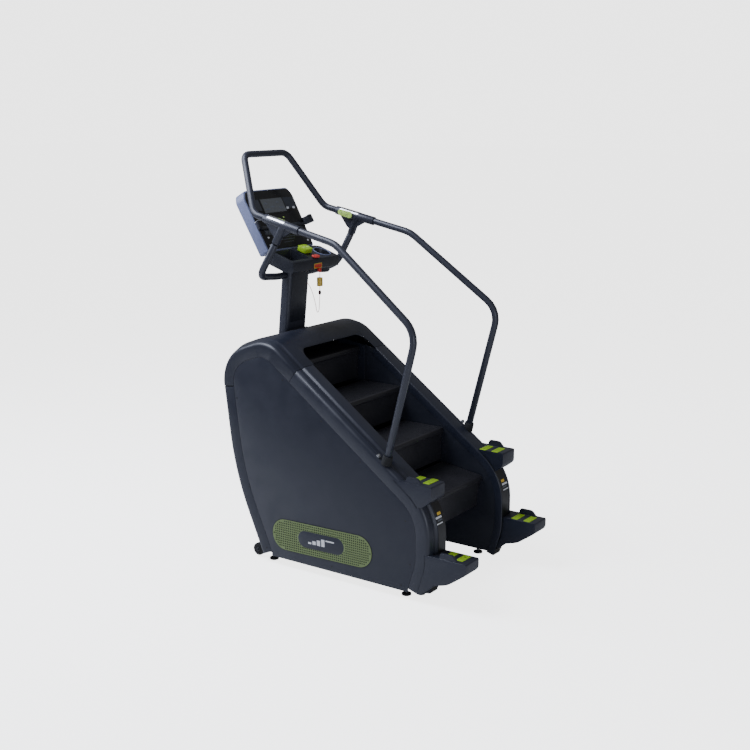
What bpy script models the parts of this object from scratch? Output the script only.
"""Stair climber (stepmill) with revolving steps, moulded covers, handrails and a console.

Metres. +X is the user's right, +Y is the way the user faces, +Z is up. The origin is on the floor under the
middle of the machine.
"""

import math

import bmesh
import bpy
from mathutils import Matrix, Quaternion, Vector

# ---- driving dimensions -----------------------------------------------------------------------------
GAP = 0.0003            # left between pieces that touch
SIDES = (("left", -1), ("right", 1))

STEP_RISE = 0.200
STEP_RUN = 0.290
STEP_DEPTH = 0.274
STEP_HALF = 0.288       # half the width of a tread
NOSING = Vector((0.038, 0.932))          # nosing of the second step, as (y, z)
LINK = Vector((0.140, -0.135))           # from a nosing to the chain pin that carries the step
LOW_TILT = math.radians(8.0)             # the lowest step has begun to turn round the lower sprocket
LOW_NOSING = Vector((-0.511, 0.493))
SPROCKET = 0.0587       # pitch radius: seven steps then close the loop exactly

HALF_WIDTH = 0.4347     # of the covers
WELL_HALF = 0.292       # half the width of the stair well
CROWN = 0.027           # the rail covers stand this much higher beside the well than at their outer shoulder
RIM = 0.070             # depth of the moulded rim around each side panel
WALL = 0.003

RAIL = 0.0190           # handrail tube radius
CONSOLE_TILT = math.radians(29.7)
CONSOLE_FOOT = Vector((0.0, 0.5942, 1.7119))

# Corners (y, z, radius) of the outer shoulder, front bottom, over the top and down the back.
FRONT = ((0.482, 0.042, 0.0), (0.677, 0.486, 1.6), (0.761, 1.145, 0.244), (0.4406, 1.2656, 0.180),
         (0.236, 1.1158, 0.0))
BACK = ((0.234, 1.1143, 0.0), (-0.310, 0.716, 0.400), (-0.607, 0.500, 0.400), (-0.607, 0.200, 0.260),
        (-0.560, 0.045, 0.0))

# Handrail corners (x, y, z, radius) on the right, from its foot to the top bar.
RAIL_FOOT = Vector((0.4094, -0.3401, 0.7087))
RAIL_KNEE = (0.4127, -0.5189, 1.4067, 0.130)
RAIL_BEND = (0.3531, 0.0230, 1.8065, 0.160)
CLAMP_REAR = Vector((0.3417, 0.2624, 1.8569))
BAR_BEND = Vector((0.3154, 0.5973, 1.9286))
BAR_CORNER = (0.1855, 0.7724, 2.2371, 0.060)

CHARCOAL, SATIN, BLACK = "#3A3F4A", "#25272D", "#101114"
LIME, OLIVE, STEEL, RED = "#A9C92F", "#7A8F5A", "#A9ADB3", "#D9352B"

PARTS = "stair_climber"
CUTTERS = "cutters"


# ---- small tools --------------------------------------------------------------------------------------
def clear_scene():
    for obj in list(bpy.data.objects):
        bpy.data.objects.remove(obj, do_unlink=True)
    for name in (PARTS, CUTTERS):
        bpy.context.scene.collection.children.link(bpy.data.collections.new(name))


def finish(name, colour, roughness, metallic=0.0):
    """Principled material of one part, with its colour as an sRGB hex value."""
    channels = [int(colour[i:i + 2], 16) / 255 for i in (1, 3, 5)]
    linear = [c / 12.92 if c <= 0.04045 else ((c + 0.055) / 1.055) ** 2.4 for c in channels]
    made = bpy.data.materials.new(name)
    made.use_nodes = True
    shader = made.node_tree.nodes["Principled BSDF"]
    shader.inputs["Base Color"].default_value = (*linear, 1.0)
    shader.inputs["Roughness"].default_value = roughness
    shader.inputs["Metallic"].default_value = metallic
    return made


LOOKS = {
    "cover": (CHARCOAL, 0.50, 0.0), "tube": (SATIN, 0.32, 0.4), "black": (BLACK, 0.60, 0.0),
    "rubber": ("#17181A", 0.85, 0.0), "lime": (LIME, 0.45, 0.0), "olive": (OLIVE, 0.55, 0.0),
    "steel": (STEEL, 0.30, 1.0), "red": (RED, 0.40, 0.0), "yellow": ("#E2C23A", 0.50, 0.0),
    "glass": ("#0B0D10", 0.08, 0.0), "frame": ("#1C1D20", 0.45, 0.5),
}


def keep(obj, name, look):
    """Names the object, gives it a material of its own and puts it in the parts collection."""
    obj.name = obj.data.name = name
    obj.data.materials.clear()
    obj.data.materials.append(finish(name, *LOOKS[look]))
    for collection in list(obj.users_collection):
        collection.objects.unlink(obj)
    bpy.data.collections[PARTS].objects.link(obj)
    return obj


def hide(obj):
    """Turns the object into a helper that is only a cutter or a tool of another part."""
    for collection in list(obj.users_collection):
        collection.objects.unlink(obj)
    bpy.data.collections[CUTTERS].objects.link(obj)
    obj.hide_render = True
    obj.display_type = "WIRE"
    return obj


def from_bmesh(name, sheet):
    mesh = bpy.data.meshes.new(name)
    sheet.to_mesh(mesh)
    sheet.free()
    obj = bpy.data.objects.new(name, mesh)
    bpy.context.scene.collection.objects.link(obj)
    return obj


def boolean(obj, operation, others):
    for other in others:
        cut = obj.modifiers.new(other.name, "BOOLEAN")
        cut.operation = operation
        cut.solver = "EXACT"
        cut.object = hide(other)
    return obj


def bevel(obj, width, segments=2):
    if obj.type == "CURVE":
        weld = obj.modifiers.new("Weld", "WELD")
        weld.merge_threshold = 0.00005
    edge = obj.modifiers.new("Bevel", "BEVEL")
    edge.width = width
    edge.segments = segments
    edge.limit_method = "ANGLE"
    edge.angle_limit = math.radians(40)
    return obj


def baked(obj):
    """The object as one plain mesh: its modifiers or its curve are worked out, and the old object goes."""
    bpy.context.view_layer.update()
    graph = bpy.context.evaluated_depsgraph_get()
    mesh = bpy.data.meshes.new_from_object(obj.evaluated_get(graph))
    sheet = bmesh.new()
    sheet.from_mesh(mesh)
    sheet.transform(obj.matrix_world)
    bmesh.ops.remove_doubles(sheet, verts=sheet.verts, dist=0.00002)
    for helper in [m.object for m in obj.modifiers if m.type == "BOOLEAN"]:
        bpy.data.objects.remove(helper, do_unlink=True)
    bpy.data.objects.remove(obj, do_unlink=True)
    bpy.data.meshes.remove(mesh)
    return from_bmesh("solid", sheet)


def joined(pieces):
    """The Boolean union of the pieces, as one plain mesh."""
    first, *others = [baked(piece) for piece in pieces]
    return baked(boolean(first, "UNION", others))


def mirrored(obj):
    """A copy on the other side of the X = 0 plane, as a plain mesh. The first object is baked too."""
    plain = baked(obj)
    sheet = bmesh.new()
    sheet.from_mesh(plain.data)
    sheet.transform(Matrix.Scale(-1, 4, (1, 0, 0)))
    bmesh.ops.reverse_faces(sheet, faces=sheet.faces)
    return plain, from_bmesh("mirror", sheet)


def pair(name, obj, look):
    """Keeps right_NAME and its mirror image left_NAME."""
    right, left = mirrored(obj)
    return keep(left, "left_" + name, look), keep(right, "right_" + name, look)


def fillet(corners, closed=False, arc=math.radians(15)):
    """Points of a polyline whose corners (vector, radius) become arcs of at most ARC per segment."""
    points = []
    last = len(corners) - 1
    for index, (here, radius) in enumerate(corners):
        if radius == 0 or (not closed and index in (0, last)):
            points.append(here.copy())
            continue
        before = corners[index - 1][0] - here
        after = corners[(index + 1) % len(corners)][0] - here
        half = before.angle(after) / 2
        reach = min(radius / math.tan(half), 0.49 * before.length, 0.49 * after.length)
        middle = (before.normalized() + after.normalized()).normalized()
        centre = here + middle * reach / math.cos(half)
        start = here + before.normalized() * reach - centre
        end = here + after.normalized() * reach - centre
        turn = start.rotation_difference(end)
        count = max(1, math.ceil((math.pi - 2 * half) / arc))
        points += [centre + Quaternion().slerp(turn, i / count) @ start for i in range(count + 1)]
    return points


def outline(corners, closed=True, arc=math.radians(18)):
    """The same for flat (a, b, radius) corners."""
    flat = [(Vector((a, b, 0)), radius) for a, b, radius in corners]
    return [Vector(p.xy) for p in fillet(flat, closed, arc)]


def normals(path):
    """Unit normals of an open flat path, on its left when it runs down the back, which is the outside."""
    found = []
    for index in range(len(path)):
        run = path[min(index + 1, len(path) - 1)] - path[max(index - 1, 0)]
        found.append(Vector((run.y, -run.x)).normalized())
    return found


def offset(path, distance):
    return [p + n * distance for p, n in zip(path, normals(path))]


def box(low, high, round_edge=0.0):
    low, high = Vector(low), Vector(high)
    bpy.ops.mesh.primitive_cube_add(size=1)
    obj = bpy.context.object
    obj.data.transform(Matrix.Translation((low + high) / 2) @ Matrix.Diagonal((*(high - low), 1)))
    return bevel(obj, round_edge) if round_edge else obj


def rod(start, end, radius, sides=20):
    """A cylinder between two points."""
    start, end = Vector(start), Vector(end)
    bpy.ops.mesh.primitive_cylinder_add(vertices=sides, radius=radius, depth=(end - start).length)
    obj = bpy.context.object
    turn = Vector((0, 0, 1)).rotation_difference(end - start).to_matrix().to_4x4()
    obj.data.transform(Matrix.Translation((start + end) / 2) @ turn)
    return obj


def beam(start, end, low_x, high_x, depth):
    """A rectangular tube blank that runs in the YZ plane between two (y, z) points."""
    start, end = Vector(start), Vector(end)
    run = end - start
    bpy.ops.mesh.primitive_cube_add(size=1)
    obj = bpy.context.object
    size = Matrix.Diagonal((high_x - low_x, run.length, depth, 1))
    turn = Matrix.Rotation(math.atan2(run.y, run.x), 4, "X")
    middle = Vector(((low_x + high_x) / 2, *((start + end) / 2)))
    obj.data.transform(Matrix.Translation(middle) @ turn @ size)
    return obj


def curve(name, points, cyclic, kind):
    data = bpy.data.curves.new(name, "CURVE")
    data.dimensions = kind
    for line in points:
        spline = data.splines.new("POLY")
        spline.points.add(len(line) - 1)
        for point, place in zip(spline.points, line):
            point.co = (*place, 1) if len(place) == 3 else (*place, 0, 1)
        spline.use_cyclic_u = cyclic
    obj = bpy.data.objects.new(name, data)
    bpy.context.scene.collection.objects.link(obj)
    return obj


def tube(points, radius, resolution=4):
    obj = curve("tube", [points], False, "3D")
    obj.data.bevel_depth = radius
    obj.data.bevel_resolution = resolution
    obj.data.use_fill_caps = True
    return obj


def plate(outlines, low, high, normal="X"):
    """A flat outline, with holes where more outlines lie inside it, extruded from low to high along an axis.

    Outlines are (y, z) for a plate across X, (x, z) for one across Y and (x, y) for one across Z.
    """
    obj = curve("plate", outlines, True, "2D")
    obj.data.fill_mode = "BOTH"
    obj.data.extrude = (high - low) / 2
    middle = (low + high) / 2
    turn = {"X": (math.pi / 2, 0, math.pi / 2), "Y": (math.pi / 2, 0, 0), "Z": (0, 0, 0)}[normal]
    place = {"X": (middle, 0, 0), "Y": (0, middle, 0), "Z": (0, 0, middle)}[normal]
    obj.rotation_euler = turn
    obj.location = place
    return obj


def shell_along(path, outward, section):
    """A sheet that carries a section of (x, height) points along a path in the YZ plane, walled inward."""
    sheet = bmesh.new()
    rows = [[sheet.verts.new((x, p.x + n.x * h, p.y + n.y * h)) for x, h in section]
            for p, n in zip(path, outward)]
    for one, two in zip(rows, rows[1:]):
        for j in range(len(section) - 1):
            sheet.faces.new((one[j], two[j], two[j + 1], one[j + 1]))
    obj = from_bmesh("shell", sheet)
    wall = obj.modifiers.new("Wall", "SOLIDIFY")
    wall.thickness = WALL
    wall.offset = -1
    wall.use_even_offset = True
    return obj


def turned(profile, foot, direction, steps=24):
    """A Screw of (radius, height) points, listed from the top of the outer side, stood on a point."""
    sheet = bmesh.new()
    verts = [sheet.verts.new((r, 0, h)) for r, h in profile]
    for one, two in zip(verts, verts[1:] + verts[:1]):
        sheet.edges.new((one, two))
    obj = from_bmesh("turned", sheet)
    spin = obj.modifiers.new("Screw", "SCREW")
    spin.steps = spin.render_steps = steps
    spin.use_merge_vertices = True
    spin.merge_threshold = 0.00005
    obj.rotation_mode = "QUATERNION"
    obj.rotation_quaternion = Vector((0, 0, 1)).rotation_difference(Vector(direction))
    obj.location = foot
    return obj


def pipe(inner, outer, length):
    """Profile of a plain bush or collar for turned()."""
    return ((outer, length), (outer, 0), (inner, 0), (inner, length))


def circle(centre, radius, count=20):
    turn = 2 * math.pi / count
    return [Vector((centre[0] + radius * math.cos(i * turn), centre[1] + radius * math.sin(i * turn)))
            for i in range(count)]


def stadium(start, end, radius, count=10):
    """Outline of two equal half circles around two points and the straight runs between them."""
    start, end = Vector(start), Vector(end)
    angle = math.atan2(*(end - start).yx)
    points = []
    for centre, first in ((end, angle - math.pi / 2), (start, angle + math.pi / 2)):
        turns = [first + math.pi * i / count for i in range(count + 1)]
        points += [centre + radius * Vector((math.cos(a), math.sin(a))) for a in turns]
    return points


def belt_outline(one, radius_one, two, radius_two, count=14):
    """Outer tangent loop round two circles of unlike radius."""
    one, two = Vector(one), Vector(two)
    run = two - one
    lean = math.asin((radius_one - radius_two) / run.length)
    angle = math.atan2(run.y, run.x)
    points = []
    for centre, radius, first, sweep in (
            (two, radius_two, angle - math.pi / 2 + lean, math.pi - 2 * lean),
            (one, radius_one, angle + math.pi / 2 - lean, math.pi + 2 * lean)):
        turns = [first + sweep * i / count for i in range(count + 1)]
        points += [centre + radius * Vector((math.cos(a), math.sin(a))) for a in turns]
    return points


def axis_at(name, place, turn=(0, 0, 0)):
    """An empty that marks a joint axis or a local frame."""
    obj = bpy.data.objects.new(name, None)
    obj.location = place
    obj.rotation_euler = turn
    bpy.data.collections[CUTTERS].objects.link(obj)
    bpy.context.view_layer.update()
    return obj


def placed(obj, frame):
    """Moves an object by a matrix, on top of the place it already has."""
    bpy.context.view_layer.update()
    obj.matrix_world = frame @ obj.matrix_world
    return obj


def ride(obj, empty):
    obj.parent = empty
    obj.matrix_parent_inverse = empty.matrix_world.inverted()
    return obj


# ---- the stair's geometry -----------------------------------------------------------------------------
UP = Vector((STEP_RUN, STEP_RISE)).normalized()         # along the incline, upward
OUT = Vector((-UP.y, UP.x))                             # square to it, toward the user
PITCH = Vector((STEP_RUN, STEP_RISE)).length


def turned_by(vector, angle):
    return Vector((vector.x * math.cos(angle) - vector.y * math.sin(angle),
                   vector.x * math.sin(angle) + vector.y * math.cos(angle)))


LOW_LINK = LOW_NOSING + turned_by(LINK, LOW_TILT)
LOW_SHAFT = LOW_LINK - turned_by(OUT, LOW_TILT) * SPROCKET
CHAIN_RUN = 3 * PITCH - SPROCKET * LOW_TILT             # the top step sits just where the straight run ends
HIGH_SHAFT = LOW_SHAFT + UP * CHAIN_RUN
CHAIN_X = 0.250
SHAFT = 0.0125
PULLEY = 0.100
PULLEY_X = (0.386, 0.402)
DYNAMO = Vector((0.500, 0.330))
DYNAMO_PULLEY = 0.028
FRAME_X = (0.345, 0.377)
WHEEL = Vector((0.545, 0.046))


def tread_outline():
    """Section of one step, from its nosing: the tread, its rounded nose and the riser plate below."""
    return outline(((0, 0, 0.010), (0, -0.030, 0.008), (0.011, -0.034, 0.0), (0.015, -0.110, 0.0),
                    (0.011, -0.186, 0.0), (0.017, -0.186, 0.0), (0.021, -0.110, 0.0), (0.017, -0.026, 0.0),
                    (STEP_DEPTH, -0.026, 0.0), (STEP_DEPTH, 0, 0.006)), arc=math.radians(45))


def one_step(nosing, turn=0.0):
    """A step and its two chain brackets. The nosing is placed, then the whole turns about it."""
    lug = outline(((0.070, -0.020, 0), (0.130, LINK.y, 0.006), (LINK.x, LINK.y - 0.012, 0.006),
                   (0.152, LINK.y, 0.006), (0.230, -0.020, 0)), arc=math.radians(60))
    pieces = [plate([tread_outline()], -STEP_HALF, STEP_HALF)]
    for _, side in SIDES:
        low, high = sorted((side * (CHAIN_X - 0.018), side * (CHAIN_X - 0.013)))
        pieces.append(plate([lug], low, high))
    obj = joined(pieces)
    obj.data.transform(Matrix.Translation((0, *nosing)) @ Matrix.Rotation(turn, 4, "X"))
    return obj


def build_steps(low_axis):
    for index in range(3):
        nosing = NOSING + Vector((STEP_RUN, STEP_RISE)) * (1 - index)
        keep(one_step(nosing), f"step_{index + 1}", "black")
    low = keep(one_step(LOW_NOSING, LOW_TILT), "step_4", "black")
    ride(low, low_axis)
    under = LOW_SHAFT - OUT * SPROCKET + UP * (PITCH - SPROCKET * (math.pi - LOW_TILT))
    for index in range(3):
        link = under + UP * PITCH * index
        keep(one_step(link + LINK, math.pi), f"step_{index + 5}", "black")


def build_drive(low_axis, high_axis, dynamo_axis):
    """Chains, sprockets, shafts, bearings and the generator that brakes them."""
    band, tooth = 0.006, SPROCKET - 0.0075
    ring = stadium(LOW_SHAFT, HIGH_SHAFT, SPROCKET + band)
    hole = stadium(LOW_SHAFT, HIGH_SHAFT, SPROCKET - band)
    pair("chain", plate([ring, hole], CHAIN_X - 0.007, CHAIN_X + 0.007), "frame")

    for name, centre, axis in (("lower_shaft", LOW_SHAFT, low_axis), ("upper_shaft", HIGH_SHAFT, high_axis)):
        reach = 0.382 if name == "lower_shaft" else PULLEY_X[1] + 0.008
        place = Vector((0, *centre))
        shaft = rod(place - Vector((0.382, 0, 0)), place + Vector((reach, 0, 0)), SHAFT, 16)
        discs = [rod(place + Vector((side * (CHAIN_X - 0.005), 0, 0)),
                     place + Vector((side * (CHAIN_X + 0.005), 0, 0)), tooth, 24) for _, side in SIDES]
        if name == "upper_shaft":
            discs.append(rod(place + Vector((PULLEY_X[0], 0, 0)), place + Vector((PULLEY_X[1], 0, 0)),
                             PULLEY - 0.0012, 36))
        ride(keep(baked(boolean(shaft, "UNION", discs)), name, "steel"), axis)

    body = rod((0.185, *DYNAMO), (0.335, *DYNAMO), 0.070, 28)
    foot = box((0.200, DYNAMO.x - 0.050, 0.0983), (0.320, DYNAMO.x + 0.005, DYNAMO.y - 0.030))
    keep(baked(boolean(bevel(body, 0.006), "UNION", [foot])), "generator", "frame")
    spindle = rod((0.335 + GAP, *DYNAMO), (PULLEY_X[1] + 0.004, *DYNAMO), 0.009, 14)
    wheel = rod((PULLEY_X[0], *DYNAMO), (PULLEY_X[1], *DYNAMO), DYNAMO_PULLEY, 24)
    ride(keep(baked(boolean(spindle, "UNION", [wheel])), "generator_pulley", "steel"), dynamo_axis)
    inner = belt_outline(HIGH_SHAFT, PULLEY + GAP, DYNAMO, DYNAMO_PULLEY + GAP)
    outer = belt_outline(HIGH_SHAFT, PULLEY + 0.004, DYNAMO, DYNAMO_PULLEY + 0.004)
    keep(plate([outer, inner], PULLEY_X[0] + 0.001, PULLEY_X[1] - 0.001), "drive_belt", "rubber")


# ---- frame --------------------------------------------------------------------------------------------
def build_frame():
    """One welded frame: the base, the side frames that carry the shafts, and the seats of rails and mast."""
    pieces = [box((-0.340, y, 0.052), (0.340, y + 0.050, 0.094)) for y in (0.310, 0.415)]
    for _, side in SIDES:
        low, high = sorted((side * FRAME_X[0], side * FRAME_X[1]))
        rail_low, rail_high = sorted((side * 0.335, side * 0.400))
        pieces.append(box((rail_low, -0.540, 0.048), (rail_high, 0.480, 0.098)))
        pieces.append(beam((0.400, 0.080), (0.400, 1.050), low, high, 0.050))
        pieces.append(beam((-0.340, 0.080), (-0.340, 0.600), low, high, 0.050))
        pieces.append(beam(HIGH_SHAFT - UP * 1.12, HIGH_SHAFT + UP * 0.080, low, high, 0.090))
        pieces.append(box((low, 0.585, 0.945), (high, 0.645, 1.148)))
        near, far = sorted((side * (FRAME_X[1] - 0.010), side * 0.428))
        pieces.append(box((near, -0.360, 0.560), (far, -0.300, 0.610)))
        for centre in (LOW_SHAFT, HIGH_SHAFT):
            pieces.append(rod((side * 0.311, *centre), (side * (FRAME_X[0] + 0.010), *centre), 0.036, 20))
        fork_low, fork_high = sorted((side * 0.362, side * 0.374))
        pieces.append(beam((0.430, 0.078), (WHEEL.x + 0.016, WHEEL.y + 0.002), fork_low, fork_high, 0.034))
        pieces.append(rod((side * 0.368, *WHEEL), (side * 0.412, *WHEEL), 0.0060, 14))
    pieces.append(box((-0.350, 0.612, 1.118), (0.350, 0.645, 1.146)))
    frame = boolean(pieces[0], "UNION", pieces[1:])
    bores = [rod((-0.5, *centre), (0.5, *centre), SHAFT + GAP, 16) for centre in (LOW_SHAFT, HIGH_SHAFT)]
    keep(baked(boolean(frame, "DIFFERENCE", bores)), "main_frame", "frame")


def build_mast():
    """Post from the frame's top cross bar up to the tray."""
    section = outline(((-0.0895, 0.5340, 0.018), (-0.0895, 0.6015, 0.018), (0.0895, 0.6015, 0.018),
                       (0.0895, 0.5340, 0.018)), arc=math.radians(30))
    low, high = 1.146 + GAP, 1.6000
    mast = plate([section], low, high, "Z")
    plain = baked(mast)
    lean = math.tan(math.radians(5.7))
    for vert in plain.data.vertices:
        vert.co.y += (1.5739 - vert.co.z) * lean
    keep(plain, "mast", "tube")


# ---- covers -------------------------------------------------------------------------------------------
def shoulder(side, inner=WELL_HALF, depth=RIM):
    """Section of a cover's edge as (x, height), from the inner top to the foot of the outer flange."""
    crown, edge = (inner, CROWN, 0.0), (HALF_WIDTH, 0.004, 0.030)
    points = outline((crown, (0.375, CROWN, 0.060), edge, (HALF_WIDTH, -depth, 0.0)), False, math.radians(24))
    return [(side * p.x, p.y) for p in points]


def build_covers():
    front = outline(FRONT, False, math.radians(12))
    back = outline(BACK, False, math.radians(12))
    seam = next(i for i, p in enumerate(front) if p.y > 0.955)
    outward = normals(front)
    full = shoulder(-1)[::-1] + shoulder(1)
    lower = shell_along(front[:seam + 1], outward[:seam + 1], full)
    notches = [box((low, 0.470, 0.0), (low + 0.052, 0.590, 0.088)) for low in (-0.407, 0.355)]
    keep(baked(boolean(lower, "DIFFERENCE", [*notches, inlet_blank(0.028, 0.034, -0.05, 0.05)])),
         "front_cover", "cover")

    upper = front[seam:]
    upper[0] = upper[0] + (upper[1] - upper[0]).normalized() * 0.0006
    hood = shell_along(upper, outward[seam:], full)
    well = outline(((-WELL_HALF + 0.004, 0.0, 0.0), (WELL_HALF - 0.004, 0.0, 0.0),
                    (WELL_HALF - 0.004, 0.322, 0.060), (-WELL_HALF + 0.004, 0.322, 0.060)))
    shift = (1.5739 - 1.240) * math.tan(math.radians(5.7))
    neck = box((-0.094, 0.528 + shift, 1.15), (0.094, 0.608 + shift, 1.4))
    keep(boolean(hood, "DIFFERENCE", [plate_mesh([well], 0.9, 1.4), neck]), "hood", "cover")

    lip = outline(((WELL_HALF, CROWN - 0.045, 0.0), (WELL_HALF, CROWN, 0.006), (0.375, CROWN, 0.060),
                   (HALF_WIDTH, 0.004, 0.030), (HALF_WIDTH, -RIM, 0.0)), False, math.radians(24))
    rail_cover = shell_along(back, normals(back), [(p.x, p.y) for p in lip])
    run = Vector(RAIL_KNEE[:3]) - RAIL_FOOT
    hole = rod(RAIL_FOOT - run * 0.2, RAIL_FOOT + run * 0.2, RAIL + 0.002, 16)
    pair("rail_cover", boolean(rail_cover, "DIFFERENCE", [hole]), "cover")

    inner = offset(front, -RIM - 0.001) + offset(back, -RIM - 0.001)
    keel = [Vector((inner[-1].x, 0.045)), Vector((inner[0].x, 0.045))]
    side_panel = plate([inner + keel], HALF_WIDTH - 0.004, HALF_WIDTH)
    pair("side_panel", bevel(side_panel, 0.0015, 1), "cover")

    wall = [Vector((p.x, max(p.y, 0.055))) for p in offset(back, CROWN - 0.010)]
    well_wall = wall + [Vector((0.300, 0.055)), Vector((0.300, 1.145))]
    holes = [circle(centre, SHAFT + 0.004, 16) for centre in (LOW_SHAFT, HIGH_SHAFT) if centre.x < 0.28]
    inner_panel = plate([well_wall, *holes], WELL_HALF + 0.004, WELL_HALF + 0.007)
    pair("inner_panel", inner_panel, "black")


def plate_mesh(outlines, low, high):
    """A plate across Z as a plain mesh, for use as a cutter."""
    return baked(plate(outlines, low, high, "Z"))


def build_grilles():
    """A long stadium of perforated sheet on each side panel."""
    tilt = Vector((0.655, -0.015)).normalized() * (0.335 - 0.0875)
    middle = Vector((0.070, 0.196))
    face = HALF_WIDTH + GAP
    shape = stadium(middle - tilt, middle + tilt, 0.0875, 12)
    pair("grille", plate([shape], face, face + 0.0035), "olive")


def solid_along(path, outward, section):
    """A closed bar whose flat (x, height) section runs along a path in the YZ plane."""
    sheet = bmesh.new()
    rows = [[sheet.verts.new((x, p.x + n.x * h, p.y + n.y * h)) for x, h in section]
            for p, n in zip(path, outward)]
    for one, two in zip(rows, rows[1:]):
        for j in range(len(section)):
            k = (j + 1) % len(section)
            sheet.faces.new((one[j], two[j], two[k], one[k]))
    sheet.faces.new(rows[0])
    sheet.faces.new(rows[-1][::-1])
    return from_bmesh("bar", sheet)


def build_footrests():
    """Two moulded footrests on each side, with a raised outer lip, cut to lie on the rail cover."""
    lower = ((-0.560, 0.270, 0.0), (-0.836, 0.270, 0.008), (-0.836, 0.214, 0.036), (-0.730, 0.138, 0.12),
             (-0.650, 0.116, 0.02), (-0.575, 0.052, 0.0), (-0.540, 0.070, 0.0))
    upper = ((-0.395, 0.635, 0.0), (-0.6270, 0.635, 0.008), (-0.6270, 0.562, 0.030), (-0.575, 0.520, 0.06),
             (-0.470, 0.490, 0.0), (-0.400, 0.560, 0.0))
    back = outline(BACK, False, math.radians(12))
    edge = [(x, h + 0.0015) for x, h in shoulder(1)] + [(HALF_WIDTH + 0.02, -0.060), (HALF_WIDTH + 0.02, -0.12),
                                                        (0.250, -0.12), (0.250, CROWN + 0.0015)]
    for name, corners, top, lip in (("lower_footrest", lower, 0.270, (-0.672, -0.790)),
                                    ("upper_footrest", upper, 0.635, (-0.466, -0.575))):
        shape = outline(corners, True, math.radians(20))
        body = baked(plate([shape], 0.304, HALF_WIDTH))
        raised = outline(((lip[0], top - 0.01, 0.0), (lip[0] - 0.012, top + 0.029, 0.008),
                          (lip[1] + 0.035, top + 0.029, 0.03), (lip[1], top - 0.01, 0.0)))
        body = boolean(body, "UNION", [baked(plate([raised], 0.414, 0.4300))])
        keeper = solid_along(back, normals(back), edge)
        pair(name, boolean(body, "DIFFERENCE", [keeper]), "black")


# ---- rails --------------------------------------------------------------------------------------------
def along(start, end, distance):
    return start + (end - start).normalized() * distance


def build_rails():
    """Handrails, the top bar that joins them, the clamps between, and the arms from the mast."""
    knee = Vector(RAIL_KNEE[:3])
    foot = along(RAIL_FOOT, knee, -0.085)
    joint = along(CLAMP_REAR, BAR_BEND, 0.130)
    rail = fillet([(foot, 0), (knee, RAIL_KNEE[3]), (Vector(RAIL_BEND[:3]), RAIL_BEND[3]), (CLAMP_REAR, 0),
                   (joint, 0)])
    pair("handrail", tube(rail, RAIL), "tube")

    start = along(joint, BAR_BEND, GAP)
    half = [(start, 0), (BAR_BEND, 0.075), (Vector(BAR_CORNER[:3]), BAR_CORNER[3])]
    flip = Vector((-1, 1, 1))
    bar = half + [(place * flip, radius) for place, radius in half[::-1]]
    keep(baked(tube(fillet(bar), RAIL)), "top_bar", "tube")

    sleeve_end = along(CLAMP_REAR, BAR_BEND, 0.255)
    sleeve = rod(CLAMP_REAR, sleeve_end, 0.0245, 20)
    seat = along(CLAMP_REAR, BAR_BEND, 0.115)
    stem_foot = Vector((0.3440, 0.4250, 1.7830))
    stem = rod(stem_foot, seat, 0.0225, 20)
    web = outline(((CLAMP_REAR.y + 0.040, CLAMP_REAR.z, 0.0), (0.500, 1.893, 0.0), (0.436, 1.808, 0.03),
                   (0.400, 1.808, 0.03)), arc=math.radians(30))
    gusset = baked(plate([web], 0.325, 0.341))
    bore = rod(along(CLAMP_REAR, BAR_BEND, -0.05), along(CLAMP_REAR, BAR_BEND, 0.30), RAIL + 0.0008, 16)
    clamp = boolean(boolean(sleeve, "UNION", [stem, gusset]), "DIFFERENCE", [bore])
    pair("rail_clamp", clamp, "black")

    bend = Vector((0.3500, 0.5380, 1.5940))
    arm_end = along(stem_foot, bend, 0.008)
    arm = fillet([(Vector((0.0895 + GAP, 0.571, 1.572)), 0), (Vector((0.160, 0.571, 1.572)), 0.06),
                  (bend, 0.062), (arm_end, 0)])
    pair("console_arm", tube(arm, 0.0195), "tube")


def build_remote_pads():
    """Pad with a rocker on the inner face of each clamp."""
    lean = (BAR_BEND - CLAMP_REAR).normalized()
    centre = along(CLAMP_REAR, BAR_BEND, 0.185)
    inward = Vector((-1, 0, 0)) - lean * Vector((-1, 0, 0)).dot(lean)
    inward.normalize()
    rise = inward.cross(lean)
    frame = Matrix((lean, rise, inward)).transposed().to_4x4()
    frame.translation = centre + inward * (0.0245 + GAP)
    shape = outline(((-0.050, -0.019, 0.015), (0.034, -0.017, 0.012), (0.050, 0.0, 0.015),
                     (0.034, 0.017, 0.012), (-0.050, 0.019, 0.015)), arc=math.radians(30))
    pad = placed(plate([shape], 0.0, 0.008, "Z"), frame)
    slot = placed(box((-0.0265, -0.0105, 0.0035), (0.0265, 0.0105, 0.02)), frame)
    body = boolean(baked(pad), "DIFFERENCE", [slot])
    pair("remote_pad", body, "lime")
    rocker = placed(box((-0.0255, -0.0095, 0.0050), (0.0255, 0.0095, 0.0090), 0.001), frame)
    right, left = mirrored(rocker)
    pivot = frame @ Vector((0, 0, 0.0060))
    for side, obj, place in (("left", left, pivot * Vector((-1, 1, 1))), ("right", right, pivot)):
        empty = axis_at(side + "_rocker_axis", place)
        ride(keep(obj, side + "_rocker", "black"), empty)


# ---- console and tray -----------------------------------------------------------------------------------
def console_piece(obj, name, look, frame):
    """Keeps a piece that was made in the console's own upright frame, with its face at y = 0."""
    return keep(placed(obj, frame.matrix_world), name, look)


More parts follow.
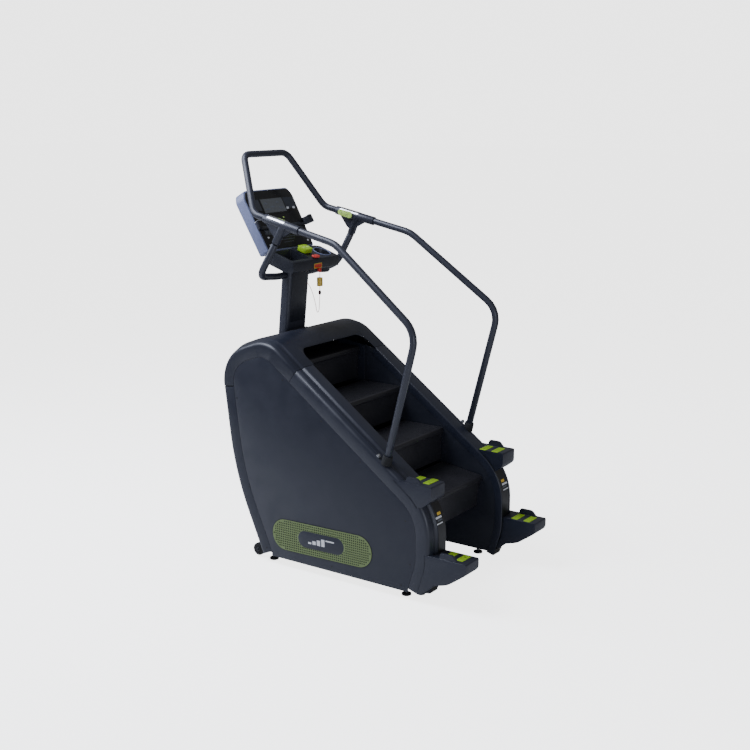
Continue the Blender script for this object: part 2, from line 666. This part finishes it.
def build_console():
    frame = axis_at("console_frame", CONSOLE_FOOT, (-CONSOLE_TILT, 0, 0))
    shape = outline(((-0.205, 0.0, 0.012), (0.205, 0.0, 0.012), (0.215, 0.330, 0.05), (0.190, 0.374, 0.03),
                     (-0.190, 0.374, 0.03), (-0.215, 0.330, 0.05)), arc=math.radians(30))
    housing = bevel(plate([shape], 0.0, 0.0655, "Y"), 0.008)
    console_piece(baked(housing), "console_housing", "cover", frame)
    inset = outline(((-0.196, 0.008, 0.010), (0.196, 0.008, 0.010), (0.206, 0.328, 0.04),
                     (0.183, 0.366, 0.026), (-0.183, 0.366, 0.026), (-0.206, 0.328, 0.04)),
                    arc=math.radians(30))
    console_piece(plate([inset], -0.004, -GAP, "Y"), "console_face", "glass", frame)

    shelf = outline(((-0.196, -0.0043, 0.0), (-0.196, -0.020, 0.010), (-0.236, -0.052, 0.006),
                     (-0.247, -0.044, 0.006), (-0.216, -0.0043, 0.0)),
                    arc=math.radians(30))
    ledge = [Vector((x, y)) for x, y in ((-0.205, -0.0043), (0.205, -0.0043), (0.205, -0.0180),
                                         (-0.205, -0.0180))]
    wings = mirrored(plate([shelf], 0.128, 0.172, "Z"))
    rack = boolean(plate_mesh([ledge], 0.128, 0.140), "UNION", wings)
    console_piece(baked(rack), "reading_rack", "black", frame)


def build_tray():
    """Tray under the console: a bin, a cup hole, a control pod, a stop button and the safety key."""
    side = outline(((0.4144, 1.6638, 0.010), (0.4188, 1.6060, 0.008), (0.4800, 1.6080, 0.03),
                    (0.5750, 1.6390, 0.01), (0.6120, 1.6560, 0.004), (0.5935, 1.7110, 0.0),
                    (0.5800, 1.7110, 0.02), (0.5500, 1.7100, 0.03)), arc=math.radians(30))
    slab = baked(plate([side], -0.2078, 0.2078))
    neck = box((-0.085, 0.500, 1.6000 + GAP), (0.085, 0.590, 1.670))
    cup = rod((0.140, 0.486, 1.50), (0.140, 0.486, 1.80), 0.0465, 28)
    bin_cut = box((-0.190, 0.440, 1.632), (-0.035, 0.575, 1.80), 0.010)
    hook = rod((-0.0325, 0.4750, 1.6200), (-0.0302, 0.4630, 1.5318), 0.0035, 12)
    tray = boolean(boolean(slab, "UNION", [neck, hook]), "DIFFERENCE", [cup, bin_cut])
    keep(baked(tray), "tray", "black")

    inner, outer, depth = 0.0430, 0.0458, 0.098
    profile = ((outer, depth), (outer, 0.010), (outer - 0.008, 0.0), (0, 0), (0, 0.004),
               (inner - 0.008, 0.004), (inner, 0.012), (inner, depth))
    keep(turned(profile, (0.140, 0.486, 1.5740), (0, 0, 1), 28), "cup_liner", "black")

    lean = math.radians(19)
    deck = axis_at("deck_frame", (0.0, 0.4144, 1.6638), (lean, 0, 0)).matrix_world
    pod = outline(((-0.034, 0.072, 0.012), (0.034, 0.072, 0.012), (0.040, 0.135, 0.016),
                   (-0.040, 0.135, 0.016)), arc=math.radians(30))
    body = baked(plate([pod], 0.0, 0.026, "Z"))
    placed(body, deck @ Matrix.Translation((0.012, 0, 0.004)))
    slots = []
    for x in (-0.017, 0.017):
        slots.append(placed(rod((0.012 + x, 0.100, 0.016), (0.012 + x, 0.100, 0.050), 0.0100, 18), deck))
    keep(baked(boolean(bevel(body, 0.004), "DIFFERENCE", slots)), "control_pod", "lime")
    for label, x in (("left", -0.017), ("right", 0.017)):
        cap = placed(rod((0.012 + x, 0.100, 0.0205), (0.012 + x, 0.100, 0.0325), 0.0094, 18), deck)
        keep(baked(bevel(cap, 0.001, 1)), label + "_pod_button", "black")

    stop = placed(rod((0.012, 0.020, 0.0045), (0.012, 0.020, 0.0130), 0.0185, 24), deck)
    keep(baked(bevel(stop, 0.002)), "stop_button", "red")


CORD = 0.0010
# The lanyard's route: out of the key, through its tag and bead, round the bottom and up to the hook.
CORD_ROUTE = ((0.0150, 0.4060, 1.5905), (0.0150, 0.4060, 1.5500), (0.0145, 0.4064, 1.5000),
              (0.0130, 0.4072, 1.4400), (0.0118, 0.4088, 1.4000), (0.0098, 0.4106, 1.3740),
              (0.0046, 0.4146, 1.3630), (-0.0006, 0.4184, 1.3735), (-0.0042, 0.4214, 1.4000),
              (-0.0110, 0.4300, 1.4500), (-0.0200, 0.4440, 1.5000), (-0.0270, 0.4560, 1.5240),
              (-0.0300, 0.4620, 1.5300))


def smooth(points, per_span):
    """Catmull-Rom curve through the points."""
    ends = [points[0] * 2 - points[1], *points, points[-1] * 2 - points[-2]]
    found = []
    for a, b, c, d in zip(ends, ends[1:], ends[2:], ends[3:]):
        for i in range(per_span):
            t = i / per_span
            found.append(0.5 * ((2 * b) + (c - a) * t + (2 * a - 5 * b + 4 * c - d) * t * t
                                + (3 * b - a - 3 * c + d) * t ** 3))
    return found + [points[-1]]


def build_safety_key():
    key = box((0.0060, 0.3990, 1.5910), (0.0240, 0.4170, 1.6140), 0.002)
    keep(baked(key), "safety_key", "red")
    keep(baked(tube(smooth([Vector(p) for p in CORD_ROUTE], 4), CORD, 2)), "key_cord", "red")
    tag = turned(pipe(CORD + GAP * 2, 0.0165, 0.048), (0.0147, 0.4062, 1.5120), (0, 0, 1), 16)
    keep(baked(tag), "key_tag", "yellow")


def build_feet():
    """Levelling feet under the base rails and the transport wheels at the front."""
    top = 0.048 - GAP
    foot = ((0.0060, top), (0.0060, 0.016), (0.0260, 0.010), (0.0260, 0.0), (0, 0), (0, top))
    for place, y in (("rear", -0.443), ("front", 0.452)):
        pair(place + "_leveling_foot", turned(foot, (0.372, y, 0.0), (0, 0, 1), 20), "rubber")
    tread = ((0.036, 0.026), (0.036, 0.004), (0.034, 0.0), (0.0060 + GAP, 0.0), (0.0060 + GAP, 0.026))
    for name, side in SIDES:
        hub = axis_at(name + "_wheel_axis", (side * 0.390, *WHEEL))
        wheel = turned(tread, (side * (0.374 + GAP * 2), *WHEEL), (side, 0, 0), 28)
        ride(keep(baked(wheel), name + "_transport_wheel", "rubber"), hub)


def inlet_blank(half_x, half_z, back, front):
    """A block square to the front cover, where the power inlet sits in it."""
    lean = math.atan2(FRONT[1][0] - FRONT[0][0], FRONT[1][1] - FRONT[0][1])
    block = box((-half_x, back, -half_z), (half_x, front, half_z))
    block.data.transform(Matrix.Translation((0.180, 0.5579, 0.150)) @ Matrix.Rotation(-lean, 4, "X"))
    return block


def build_power_inlet():
    body = inlet_blank(0.0275, 0.0335, -0.020, 0.001)
    well = inlet_blank(0.012, 0.016, -0.014, 0.02)
    keep(baked(boolean(body, "DIFFERENCE", [well])), "power_inlet", "black")


def main():
    clear_scene()
    low_axis = axis_at("lower_shaft_axis", (0, *LOW_SHAFT))
    high_axis = axis_at("upper_shaft_axis", (0, *HIGH_SHAFT))
    dynamo_axis = axis_at("generator_axis", (0, *DYNAMO))
    build_frame()
    build_mast()
    build_covers()
    build_grilles()
    build_footrests()
    build_steps(low_axis)
    build_drive(low_axis, high_axis, dynamo_axis)
    build_rails()
    build_remote_pads()
    build_console()
    build_tray()
    build_safety_key()
    build_feet()
    build_power_inlet()


main()
